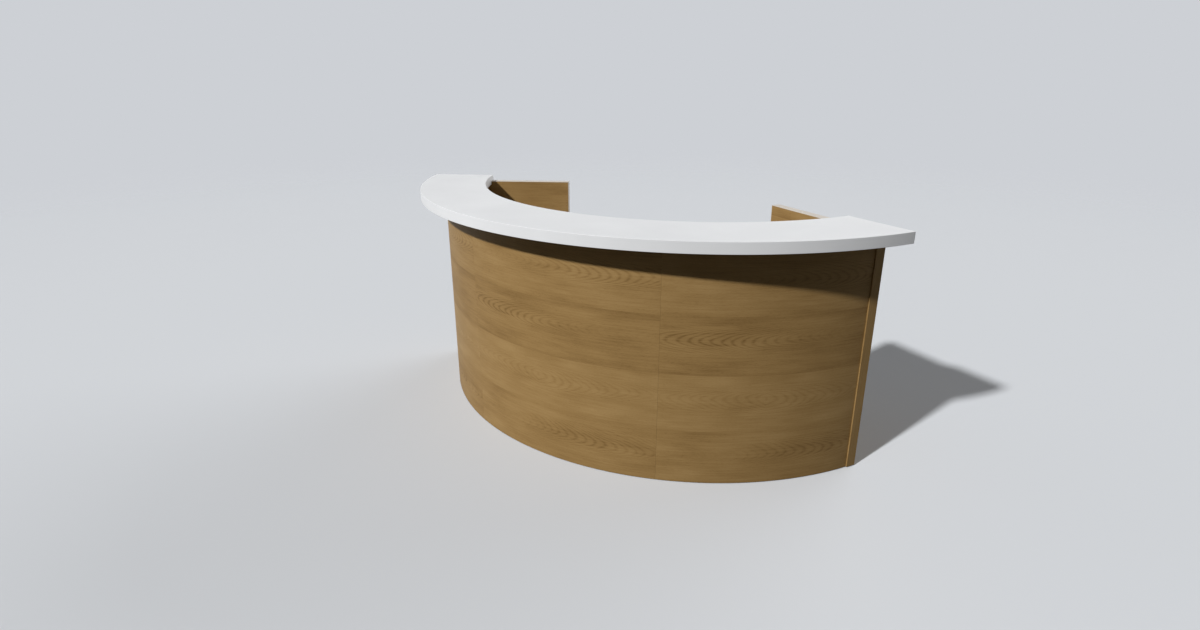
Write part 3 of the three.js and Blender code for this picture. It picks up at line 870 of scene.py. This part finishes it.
class DESK_OT_front(bpy.types.Operator):
    """Builds the three sections of the curved front"""

    bl_idname = "desk.front"
    bl_label = "Curved front"

    def execute(self, context):
        end = FRONT_HALF_ANGLE - angle_of(JOINT_GAP, FRONT_INNER)
        seam = angle_of(JOINT_GAP / 2, FRONT_INNER)
        repeat = angle_of(SECTION_LENGTH, FRONT_RADIUS)
        # Each section is cut from the same print, which starts at its left seam
        sections = {
            "front_panel_left": (-end, LEFT_SEAM - seam, LEFT_SEAM - repeat),
            "front_panel_middle": (LEFT_SEAM + seam, RIGHT_SEAM - seam, LEFT_SEAM),
            "front_panel_right": (RIGHT_SEAM + seam, end, RIGHT_SEAM),
        }
        for node, (start, stop, print_start) in sections.items():
            bm = bmesh.new()
            curved_board(bm, node, FRONT_INNER, FRONT_RADIUS, start, stop)
            round_edges(bm, context.scene.desk_sizes.seam_radius, segments=2)
            lay_grain_on_arc(bm, FRONT_RADIUS, print_start)
            dress(bm, node, oak_laminate)
        return {"FINISHED"}


class DESK_OT_end_panels(bpy.types.Operator):
    """Builds the two end panels and the pale tape on their edges"""

    bl_idname = "desk.end_panels"
    bl_label = "End panels"

    def execute(self, context):
        sizes = context.scene.desk_sizes
        for name, side in SIDES.items():
            node = "end_panel_" + name
            pieces = {
                node: (END_REAR + EDGING + JOINT_GAP, END_FRONT, sizes.edge_radius / 2, oak_laminate),
                node + "_top_edging": (END_REAR, END_FRONT, sizes.tape_radius, pale_edging),
                node + "_rear_edging": (END_REAR, END_REAR + EDGING, sizes.tape_radius, pale_edging),
            }
            for piece, (near, far, radius, finish) in pieces.items():
                low, high = heights(piece)
                start, stop = sorted((-side * near, -side * far))
                bm = bmesh.new()
                board(bm, (start, -END_THICKNESS, low), (stop, 0, high))
                round_edges(bm, radius)
                lay_grain_on_board(bm, END_PRINT)
                dress(bm, piece, finish, end_stand(side, 0, inset=0))
        return {"FINISHED"}


class DESK_OT_counter(bpy.types.Operator):
    """Builds the white counter: its slab with the lippings under the front and rear edges, faced as one"""

    bl_idname = "desk.counter"
    bl_label = "Counter"

    def execute(self, context):
        low, high = heights("counter_top")
        lip = heights("counter_front_lipping")[0]
        rear_end = FRONT_HALF_ANGLE - angle_of(JOINT_GAP, COUNTER_INNER)
        profile = (
            (COUNTER_INNER, low),
            (REAR_LIPPING_OUTER, low),
            (FRONT_LIPPING_INNER, low),
            (FRONT_LIPPING_INNER, lip),
            (COUNTER_OUTER, lip),
            (COUNTER_OUTER, high),
            (COUNTER_INNER, high),
        )
        bm = bmesh.new()
        sweep(bm, profile, (-COUNTER_HALF_ANGLE, -rear_end, rear_end, COUNTER_HALF_ANGLE))
        under_rear = []
        for face in bm.faces:
            radius, angle = arc_of(face.calc_center_median())
            if face.normal.z < -FACING and radius < REAR_LIPPING_OUTER and abs(angle) < rear_end:
                under_rear.append(face)
        draw_out(bm, under_rear, (0, 0, lip - low))
        bmesh.ops.recalc_face_normals(bm, faces=bm.faces)
        round_edges(bm, context.scene.desk_sizes.edge_radius)
        dress(bm, "counter_top", white_laminate, also=("counter_front_lipping", "counter_rear_lipping"))
        return {"FINISHED"}


def grommet_place(side):
    """The place of a grommet's axis on the floor."""
    return Matrix.Translation(on_arc(FRONT_INNER - HOLE_FROM_FRONT, side * FRONT_HALF_ANGLE / 2))


class DESK_OT_work_surface(bpy.types.Operator):
    """Builds the two halves of the lower work surface, with their cable holes"""

    bl_idname = "desk.work_surface"
    bl_label = "Work surface"

    def execute(self, context):
        end = FRONT_HALF_ANGLE - angle_of(FIT_GAP, WORK_INNER)
        middle = angle_of(JOINT_GAP / 2, WORK_INNER)
        spans = {"left": (-end, -middle), "right": (middle, end)}
        for name, (start, stop) in spans.items():
            node = "work_surface_" + name
            low, high = heights(node)
            bm = bmesh.new()
            arcs = []
            for radius in (WORK_INNER, WORK_OUTER):
                first = bm.verts.new(on_arc(radius, start, low))
                last = spin_on_arc(bm, [first], start, stop)
                arcs.append((first, *of_kind(last, bmesh.types.BMVert)))
            for pair in zip(*arcs):
                bm.edges.new(pair)
            ring_of(bm, HOLE_RADIUS, ROUND_STEPS, at_height(low) @ grommet_place(SIDES[name]))
            fill_and_thicken(bm, bm.edges[:], (0, 0, high - low))
            round_edges(bm, context.scene.desk_sizes.edge_radius)
            dress(bm, node, white_laminate)
        return {"FINISHED"}


class DESK_OT_centre_support(bpy.types.Operator):
    """Builds the upright board under the joint of the work surface"""

    bl_idname = "desk.centre_support"
    bl_label = "Centre support"

    def execute(self, context):
        low, high = heights("centre_support")
        half = SUPPORT_THICKNESS / 2
        bm = bmesh.new()
        board(bm, (-flat_seat(half), -half, low), (-SUPPORT_REAR, half, high))
        round_edges(bm, context.scene.desk_sizes.edge_radius)
        lay_grain_on_board(bm, SUPPORT_PRINT)
        dress(bm, "centre_support", oak_laminate, stand(0, 0, 90))
        return {"FINISHED"}


class DESK_OT_joint_plates(bpy.types.Operator):
    """Builds the plywood plates behind the seams of the front, with their screws"""

    bl_idname = "desk.joint_plates"
    bl_label = "Joint plates"

    def execute(self, context):
        half = angle_of(PLATE_WIDTH / 2, FRONT_REACH)
        back = FRONT_REACH - PLATE_THICKNESS
        for name, seam in {"left": LEFT_SEAM, "right": RIGHT_SEAM}.items():
            for level in ("lower", "upper"):
                node = f"joint_plate_{name}_{level}"
                bm = bmesh.new()
                curved_board(bm, node, back, FRONT_REACH, seam - half, seam + half)
                round_edges(bm, context.scene.desk_sizes.edge_radius / 2, segments=2)
                dress(bm, node, plywood)
                columns = [stand(back, seam + side * half / 2, seam) @ FACE_OUT for side in SIDES.values()]
                bm = bmesh.new()
                drive_screws(bm, [at_height(row) @ column for row in self.rows(node) for column in columns])
                make_piece(bm, node + "_piece_screws", zinc_steel)
        return {"FINISHED"}

    def rows(self, node):
        """The heights of a plate's rows of screws."""
        low, high = heights(node)
        count = max(2, round((high - low) / PLATE_SCREW_SPACING))
        rise = (high - low - 2 * PLATE_MARGIN) / (count - 1)
        return [low + PLATE_MARGIN + i * rise for i in range(count)]


class DESK_OT_metalwork(bpy.types.Operator):
    """Builds the folded steel brackets, cleats and angles, with their screws"""

    bl_idname = "desk.metalwork"
    bl_label = "Metalwork"

    def execute(self, context):
        self.counter_brackets(context.scene.desk_sizes.plate_edge)
        self.work_brackets()
        self.end_cleats()
        self.corner_angles()
        return {"FINISHED"}

    def counter_brackets(self, edge):
        """Angles with a triangular web, under the counter's rear overhang."""
        end = FRONT_HALF_ANGLE - angle_of(COUNTER_BRACKET_INSET, FRONT_INNER)
        reach = flat_seat(COUNTER_BRACKET_WIDTH / 2) - REAR_LIPPING_OUTER - COUNTER_BRACKET_CLEARANCE
        half = STEEL / 2
        web = ((half, COUNTER_BRACKET_DROP), (reach - WEB_INSET, half), (half, half))
        corners = [(-half, y, z) for y, z in web]
        for i in range(COUNTER_BRACKETS):
            node = f"counter_bracket_{i + 1}"
            bm = bmesh.new()
            folded_angle(bm, COUNTER_BRACKET_WIDTH, reach, COUNTER_BRACKET_DROP)
            before = set(bm.edges)
            fill_and_thicken(bm, loop_of(bm, corners), (STEEL, 0, 0))
            round_edges(bm, edge, segments=2, among=added(bm.edges, before))
            screw_angle(bm, "counter_bracket")
            angle = -end + i * 2 * end / (COUNTER_BRACKETS - 1)
            dress(bm, node, zinc_steel, front_stand(angle, COUNTER_BRACKET_WIDTH) @ hung(node))

    def plain_angle(self, node, kind, length, leg, place):
        """An angle with equal legs and its screws."""
        bm = bmesh.new()
        folded_angle(bm, length, leg, leg)
        screw_angle(bm, kind)
        dress(bm, node, zinc_steel, place)

    def work_brackets(self):
        """Angles between the front and the work surface."""
        for i in range(WORK_BRACKETS):
            node = f"work_bracket_{i + 1}"
            angle = ((2 * i + 1) / WORK_BRACKETS - 1) * FRONT_HALF_ANGLE
            place = front_stand(angle, WORK_BRACKET_WIDTH) @ hung(node)
            self.plain_angle(node, "work_bracket", WORK_BRACKET_WIDTH, WORK_BRACKET_LEG, place)

    def end_cleats(self):
        """Long angles that carry the work surface's ends."""
        for name, side in SIDES.items():
            node = "end_cleat_" + name
            place = end_stand(side, (WORK_INNER + WORK_OUTER) / 2) @ hung(node)
            self.plain_angle(node, "end_cleat", CLEAT_LENGTH, ANGLE_LEG, place)

    def corner_angles(self):
        """Upright angles in the corners of the front with the end panels and with the centre support."""
        end_seat = flat_seat(ANGLE_LEG + JOINT_GAP)
        support_seat = flat_seat(SUPPORT_THICKNESS / 2 + JOINT_GAP + ANGLE_LEG)
        corners = {
            "corner_angle_left": (end_stand(-1, 0), 1, end_seat),
            "corner_angle_right": (end_stand(1, 0), -1, end_seat),
            "support_angle": (support_stand(0), 1, support_seat),
        }
        for node, (place, outward, seat) in corners.items():
            low, high = heights(node)
            # The fold stands upright in the corner, with its level leg along the panel
            # and its other leg along the front
            upright = Matrix(
                (
                    (0, -outward, 0, outward * seat),
                    (0, 0, 1, 0),
                    (-outward, 0, 0, (low + high) / 2),
                    (0, 0, 0, 1),
                )
            )
            self.plain_angle(node, "corner_angle", high - low, ANGLE_LEG, place @ upright)


class DESK_OT_grommets(bpy.types.Operator):
    """Builds the cable grommets: a flanged ring and a notched cap that turns in it"""

    bl_idname = "desk.grommets"
    bl_label = "Cable grommets"

    def execute(self, context):
        edge = context.scene.desk_sizes.moulded_edge
        # The solids' rings have flats, so each piece is as wide as those allow
        flats = math.cos(math.pi / RING_FLATS)
        barrel = HOLE_RADIUS * flats - JOINT_GAP
        seat = barrel - RING_WALL
        for name, side in SIDES.items():
            self.build_ring(name, barrel, seat, grommet_place(side), edge)
            self.build_cap(name, seat * flats - JOINT_GAP, grommet_place(side), edge)
        return {"FINISHED"}

    def build_ring(self, name, barrel, seat, place, edge):
        """A barrel in the hole, with a flange on the work surface and a ledge inside for the cap."""
        node = "grommet_ring_" + name
        bottom, top = heights(node)
        face = heights("work_surface_" + name)[1]
        ledge = top - CAP_THICKNESS - JOINT_GAP
        crown = (top - face) / 2
        profile = (
            (seat, top),
            (seat, ledge),
            (seat - RING_LEDGE, ledge),
            (seat - RING_LEDGE, bottom),
            (barrel, bottom),
            (barrel, face),
            (RING_RADIUS, face),
            (RING_RADIUS, top - crown),
            (RING_RADIUS - crown, top),
        )
        bm = bmesh.new()
        turn_profile(bm, profile, ROUND_STEPS)
        round_edges(bm, edge, segments=2, over=30)
        dress(bm, node, grey_plastic, place)

    def build_cap(self, name, radius, place, edge):
        """A disc with a notch at the front for the cables, and a shallow tray on top."""
        node = "grommet_cap_" + name
        low, high = heights(node)
        notch_end = NOTCH_DEPTH - radius
        half = NOTCH_WIDTH / 2
        seat = at_height(low)
        bm = bmesh.new()
        bmesh.ops.create_circle(bm, cap_ends=True, radius=radius, segments=ROUND_STEPS, matrix=seat)
        cuts = (((half, 0, 0), (1, 0, 0)), ((-half, 0, 0), (1, 0, 0)), ((0, notch_end, 0), (0, 1, 0)))
        for point, normal in cuts:
            bmesh.ops.bisect_plane(bm, geom=region(bm.faces[:]), plane_co=point, plane_no=normal)
        middles = {f: f.calc_center_median() for f in bm.faces}
        notch = [f for f, middle in middles.items() if abs(middle.x) < half and middle.y < notch_end]
        bmesh.ops.delete(bm, geom=notch, context="FACES")
        bmesh.ops.dissolve_faces(bm, faces=bm.faces[:], use_verts=False)
        draw_out(bm, bm.faces[:], (0, 0, high - low))
        bmesh.ops.recalc_face_normals(bm, faces=bm.faces)
        upright = [e for e in bm.edges if abs(e.verts[0].co.z - e.verts[1].co.z) > NEAR]
        corners = [e for e in upright if abs(e.verts[0].co.y - notch_end) < NEAR]
        round_edges(bm, NOTCH_CORNER, segments=5, among=corners)
        round_edges(bm, edge, segments=2)
        tray = max((f for f in bm.faces if f.normal.z > FACING), key=lambda f: f.calc_area())
        bmesh.ops.inset_region(bm, faces=[tray], thickness=CAP_RIM, depth=0)
        bmesh.ops.inset_region(bm, faces=[tray], thickness=CAP_TRAY_SLOPE, depth=-CAP_TRAY_DEPTH)
        dress(bm, node, grey_plastic, place, body="cap_" + name)


class DESK_OT_feet(bpy.types.Operator):
    """Builds the levelling feet: a bracket with a welded nut, a threaded stem and a pad each"""

    bl_idname = "desk.feet"
    bl_label = "Levelling feet"

    def execute(self, context):
        sizes = context.scene.desk_sizes
        near_front = FRONT_REACH - FOOT_MARGIN
        places = (
            end_stand(-1, END_REAR + FOOT_MARGIN),
            end_stand(-1, near_front),
            front_stand(-FRONT_HALF_ANGLE / 2, FOOT_WIDTH),
            support_stand(SUPPORT_REAR + FOOT_MARGIN),
            support_stand(near_front),
            front_stand(FRONT_HALF_ANGLE / 2, FOOT_WIDTH),
            end_stand(1, near_front),
            end_stand(1, END_REAR + FOOT_MARGIN),
        )
        for number, place in enumerate(places, 1):
            axis = place @ Matrix.Translation((0, FOOT_OFFSET, 0))
            self.build_bracket(number, place, sizes.plate_edge)
            self.build_stem(number, axis, sizes.plate_edge)
            self.build_pad(number, axis, sizes.moulded_edge)
        return {"FINISHED"}

    def build_bracket(self, number, place, edge):
        """An angle screwed to its panel, with a bored nut on its level leg."""
        node = f"foot_bracket_{number}"
        low, high = heights(node)
        bm = bmesh.new()
        folded_angle(bm, FOOT_WIDTH, FOOT_DEPTH, high - low, (FOOT_OFFSET, BORE_RADIUS))
        before = set(bm.edges)
        nut_place = Matrix.Translation((0, FOOT_OFFSET, STEEL))
        nut = ring_of(bm, NUT_RADIUS, HEX_SIDES, nut_place)
        bore = ring_of(bm, BORE_RADIUS, BORE_STEPS, nut_place)
        fill_and_thicken(bm, nut + bore, (0, 0, NUT_HEIGHT))
        round_edges(bm, edge, segments=2, among=added(bm.edges, before))
        screw_angle(bm, "foot_bracket")
        dress(bm, node, zinc_steel, place @ at_height(low))

    def build_stem(self, number, axis, edge):
        """A threaded rod with a hexagonal collar, a plain pin below it and a slot across its top."""
        node = f"foot_stem_{number}"
        bottom, top = heights(node)
        collar_top = heights(f"foot_bracket_{number}")[0] - JOINT_GAP
        collar_low = collar_top - COLLAR_HEIGHT
        thread_top = top - SLOT_DEPTH
        root = STEM_RADIUS - THREAD_DEPTH
        bm = bmesh.new()
        self.cut_thread(bm, root, collar_top - STEM_OVERLAP, thread_top)
        before = set(bm.edges)
        collar = ring_of(bm, COLLAR_RADIUS, HEX_SIDES, at_height(collar_low))
        fill_and_thicken(bm, collar, (0, 0, COLLAR_HEIGHT))
        round_edges(bm, edge, segments=2, among=added(bm.edges, before))
        pin = ring_of(bm, root, BORE_STEPS, at_height(bottom))
        fill_and_thicken(bm, pin, (0, 0, collar_low + STEM_OVERLAP - bottom))
        seat = at_height(thread_top - STEM_OVERLAP)
        for side in SIDES.values():
            tip = bmesh.ops.create_circle(
                bm, cap_ends=True, radius=root, segments=BORE_STEPS, matrix=seat
            )["verts"]
            wall = (side * SLOT_WIDTH / 2, 0, 0)
            disc = region(tip[0].link_faces[:])
            bmesh.ops.bisect_plane(bm, geom=disc, plane_co=wall, plane_no=(-side, 0, 0), clear_outer=True)
            kept = next(v for v in tip if v.is_valid)
            draw_out(bm, kept.link_faces[:], (0, 0, SLOT_DEPTH + STEM_OVERLAP))
        bmesh.ops.recalc_face_normals(bm, faces=bm.faces)
        dress(bm, node, zinc_steel, axis, body=f"stem_{number}")

    def cut_thread(self, bm, root, low, high):
        """A thread between two heights, wound from its own V and cut off level."""
        start = low - THREAD_RUN_IN * THREAD_PITCH
        turns = math.ceil((high - start) / THREAD_PITCH) + 1
        ridge = ((root, 0), (STEM_RADIUS, THREAD_PITCH / 2), (root, THREAD_PITCH))
        verts = [bm.verts.new((radius, 0, start + rise)) for radius, rise in ridge]
        edges = [bm.edges.new(pair) for pair in zip(verts, verts[1:])]
        bmesh.ops.spin(
            bm,
            geom=verts + edges,
            cent=(0, 0, 0),
            axis=(0, 0, 1),
            dvec=(0, 0, THREAD_PITCH / THREAD_STEPS),
            angle=math.tau * turns,
            steps=THREAD_STEPS * turns,
        )
        bmesh.ops.remove_doubles(bm, verts=bm.verts, dist=NEAR)
        for height, away in ((low, -1), (high, 1)):
            cut = bmesh.ops.bisect_plane(
                bm,
                geom=region(bm.faces[:]),
                plane_co=(0, 0, height),
                plane_no=(0, 0, away),
                clear_outer=True,
            )["geom_cut"]
            bmesh.ops.edgeloop_fill(bm, edges=of_kind(cut, bmesh.types.BMEdge))
        bmesh.ops.dissolve_degenerate(bm, dist=SLIVER, edges=bm.edges)
        bmesh.ops.recalc_face_normals(bm, faces=bm.faces)

    def build_pad(self, number, axis, edge):
        """A round pad with a sloping shoulder and a socket for the stem."""
        node = f"foot_pad_{number}"
        low, high = heights(node)
        profile = (
            (0, low),
            (PAD_RADIUS, low),
            (PAD_RADIUS, PAD_RIM),
            (PAD_TOP_RADIUS, high),
            (BORE_RADIUS, high),
            (BORE_RADIUS, PAD_SOLE),
            (0, PAD_SOLE),
        )
        bm = bmesh.new()
        turn_profile(bm, profile, PAD_STEPS)
        round_edges(bm, edge, segments=2, over=25)
        dress(bm, node, black_plastic, axis, body=f"pad_{number}")


def seen_directly(add):
    """1 for what the camera sees, also in gloss or through glass, and 0 for light between surfaces."""
    path = add("LightPath")
    seen = path.outputs["Is Camera Ray"]
    for kind in ("Is Glossy Ray", "Is Transmission Ray"):
        seen = add("Math", {0: seen, 1: path.outputs[kind]}, operation="MAXIMUM")
    return seen


# Studio floor, matt: pale where it is seen, but it throws little light back,
# so the shade under the counter stays deep
def studio_floor():
    colours = bpy.context.scene.desk_colours
    material, add = new_finish("Studio floor, matt")
    colour = {"Factor": seen_directly(add), "A": colours.floor_return, "B": colours.floor}
    colour = add("Mix", colour, data_type="RGBA")
    face = add("BsdfPrincipled", {"Base Color": colour, "Roughness": 0.9, "Specular IOR Level": 0.0})
    place = add("TexCoord").outputs["Object"]
    away = add("VectorMath", {0: place}, operation="LENGTH")
    fade = {"Value": away, "From Min": FLOOR_FADE_START, "From Max": FLOOR_FADE_END}
    fade = add("MapRange", fade, interpolation_type="SMOOTHSTEP")
    faded = add("MixShader", {0: fade, 1: face, 2: add("BsdfTransparent")})
    add("OutputMaterial", {"Surface": faded})
    return material


class DESK_OT_stage(bpy.types.Operator):
    """Sets the floor, the light and the camera"""

    bl_idname = "desk.stage"
    bl_label = "Stage"

    def execute(self, context):
        scene = context.scene
        scene.view_settings.view_transform = "Standard"
        self.lay_floor(scene)
        self.set_lamps(scene)
        self.set_world(scene)
        self.set_camera(scene)
        return {"FINISHED"}

    def lay_floor(self, scene):
        """A pale floor that fades into the backdrop before its rim."""
        bm = bmesh.new()
        bmesh.ops.create_circle(bm, cap_ends=True, radius=FLOOR_RADIUS, segments=ROUND_STEPS)
        mesh = mesh_of(bm, "floor")
        mesh.materials.append(studio_floor())
        floor = bpy.data.objects.new("floor", mesh)
        scene.collection.objects.link(floor)

    def aim(self, scene, name, data, way):
        """Sets up a lamp or the camera, facing a way."""
        holder = bpy.data.objects.new(name, data)
        holder.rotation_mode = "QUATERNION"
        holder.rotation_quaternion = Vector(way).to_track_quat("-Z", "Y")
        scene.collection.objects.link(holder)
        return holder

    def set_lamps(self, scene):
        """A key from the front, and broad lights beside and behind."""
        for name, (spread, way) in LAMPS.items():
            lamp = bpy.data.lights.new(name, "SUN")
            lamp.energy = getattr(scene.desk_stage, name + "_light")
            lamp.angle = math.radians(spread)
            # The low lamps would glare on the counter
            self.aim(scene, name, lamp, way).visible_glossy = name == "key"

    def set_world(self, scene):
        """An even fill all round, and a backdrop where it is seen."""
        world = bpy.data.worlds.new("Studio")
        add = emptied(world)
        fill = add("Background", {"Color": (1, 1, 1), "Strength": scene.desk_stage.fill_light})
        backdrop = add("Background", {"Color": scene.desk_colours.backdrop, "Strength": 1.0})
        mixed = add("MixShader", {0: seen_directly(add), 1: fill, 2: backdrop})
        add("OutputWorld", {"Surface": mixed})
        scene.world = world

    def set_camera(self, scene):
        """The camera stands where the desk is seen as in its picture."""
        stage = scene.desk_stage
        yaw, pitch = stage.camera_yaw, stage.camera_pitch
        level = math.cos(pitch)
        lens = bpy.data.cameras.new("camera")
        lens.sensor_fit = "HORIZONTAL"
        lens.sensor_width = SENSOR_WIDTH
        lens.lens = stage.camera_lens
        sight = (math.sin(yaw) * level, math.cos(yaw) * level, math.sin(pitch))
        scene.camera = self.aim(scene, "camera", lens, sight)
        scene.camera.location = stage.camera_place


OPERATORS = (
    DESK_OT_front,
    DESK_OT_end_panels,
    DESK_OT_counter,
    DESK_OT_work_surface,
    DESK_OT_centre_support,
    DESK_OT_joint_plates,
    DESK_OT_metalwork,
    DESK_OT_grommets,
    DESK_OT_feet,
    DESK_OT_stage,
)
GROUPS = {"desk_sizes": DeskSizes, "desk_colours": DeskColours, "desk_stage": DeskStage}


class DESK_PT_panel(bpy.types.Panel):
    """Lists the desk's pieces, the stage, and the sizes and colours."""

    bl_idname = "DESK_PT_panel"
    bl_label = "Reception desk"
    bl_space_type = "VIEW_3D"
    bl_region_type = "UI"
    bl_category = "Desk"

    def draw(self, context):
        for operator in OPERATORS:
            self.layout.operator(operator.bl_idname)
        for name, group in GROUPS.items():
            box = self.layout.box()
            for setting in group.__annotations__:
                box.prop(getattr(context.scene, name), setting)


CLASSES = (*GROUPS.values(), *OPERATORS, DESK_PT_panel)


def register():
    for cls in CLASSES:
        bpy.utils.register_class(cls)
    for name, group in GROUPS.items():
        setattr(bpy.types.Scene, name, PointerProperty(type=group))


def unregister():
    for name in GROUPS:
        delattr(bpy.types.Scene, name)
    for cls in reversed(CLASSES):
        bpy.utils.unregister_class(cls)


def main():
    register()
    bpy.ops.desk.front()
    bpy.ops.desk.end_panels()
    bpy.ops.desk.counter()
    bpy.ops.desk.work_surface()
    bpy.ops.desk.centre_support()
    bpy.ops.desk.joint_plates()
    bpy.ops.desk.metalwork()
    bpy.ops.desk.grommets()
    bpy.ops.desk.feet()
    bpy.ops.desk.stage()


if __name__ == "__main__":
    main()
